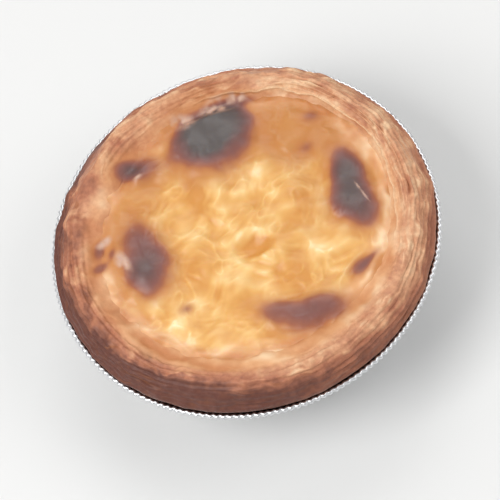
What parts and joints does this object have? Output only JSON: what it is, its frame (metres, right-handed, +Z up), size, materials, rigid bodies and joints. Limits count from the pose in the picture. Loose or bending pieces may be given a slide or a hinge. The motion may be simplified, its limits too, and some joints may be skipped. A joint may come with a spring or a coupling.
{
  "type": "portuguese custard tart",
  "caption": "Small custard tart: a round cup of layered pastry with a ridged rim and a wrinkled, scorched custard filling, in its pleated foil case",
  "frame": {"origin": "centre of the foil case's flat base", "axes": "+Z up out of the tart; +X and +Y across it, +Y towards the big scorched blister"},
  "size_m": [0.076, 0.076, 0.0285],
  "materials": {
    "foil": "bright",
    "pastry": "baked crust",
    "custard": "glossy skin"
  },
  "bodies": {
    "root": {"foil_case": "foil", "pastry_shell": "pastry", "custard_filling": "custard"}
  },
  "joints": []
}
